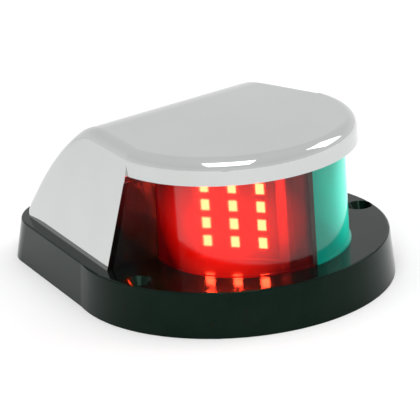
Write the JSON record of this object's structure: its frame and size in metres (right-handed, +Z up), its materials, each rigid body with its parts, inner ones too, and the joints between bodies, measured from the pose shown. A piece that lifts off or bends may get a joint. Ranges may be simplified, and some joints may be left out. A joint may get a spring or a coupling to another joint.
{
  "type": "bi-colour navigation light",
  "caption": "Deck-mount red and green navigation light with a round lens under a chromed visor cover that slopes down to the tail, on a black base.",
  "frame": {"origin": "middle of the footprint on the deck face, at the bottom of the base", "axes": "+Z up from the deck, +Y towards the tail so the lenses face -Y, +X towards the green lens"},
  "size_m": [0.088, 0.109, 0.0451],
  "materials": {
    "base_plastic": "glossy black moulding",
    "chrome_shell": "mirror chrome",
    "red_lens": "clear red",
    "green_lens": "clear green",
    "divider_plastic": "matt black",
    "bulkhead_plastic": "gloss black",
    "screen_plastic": "matt black",
    "deck_gasket": "matt",
    "seal_rubber": "matt",
    "grommet_rubber": "matt",
    "carrier_metal": "brushed",
    "stainless": "bright",
    "insert_brass": "turned",
    "led_board": "white solder mask",
    "led_package": "white",
    "driver_board": "green solder mask",
    "ferrite": "matt",
    "winding_copper": "enamelled",
    "capacitor_can": "satin",
    "chip_black": "matt",
    "resistor_body": "glazed",
    "terminal_plastic": "semi-gloss green",
    "supply_wire": "red insulation",
    "return_wire": "black insulation",
    "red_led_light": "lit phosphor",
    "green_led_light": "lit phosphor"
  },
  "bodies": {
    "root": {"base_housing": "base_plastic", "deck_gasket": "deck_gasket", "outlet_grommet": "grommet_rubber", "cover_seal": "seal_rubber", "visor_cover": "chrome_shell", "cover_inserts": "insert_brass", "cover_screws": "stainless", "green_lens": "green_lens", "red_lens": "red_lens", "lens_divider": "divider_plastic", "lens_foot_seal": "seal_rubber", "lens_top_seal": "seal_rubber", "bulkhead": "bulkhead_plastic", "bulkhead_screws": "stainless", "light_screen": "screen_plastic", "led_carrier": "carrier_metal", "carrier_screws": "stainless", "green_led_board": "led_board", "red_led_board": "led_board", "green_led_packages": "led_package", "red_led_packages": "led_package", "green_led_windows": "green_led_light", "red_led_windows": "red_led_light", "led_board_screws": "stainless", "driver_board": "driver_board", "driver_screws": "stainless", "inductor_core": "ferrite", "inductor_winding": "winding_copper", "capacitors": "capacitor_can", "regulator_chips": "chip_black", "chip_resistors": "resistor_body", "protection_diode": "chip_black", "terminal_block": "terminal_plastic", "terminal_screws": "stainless", "supply_leads": "supply_wire", "return_leads": "return_wire"}
  },
  "joints": []
}
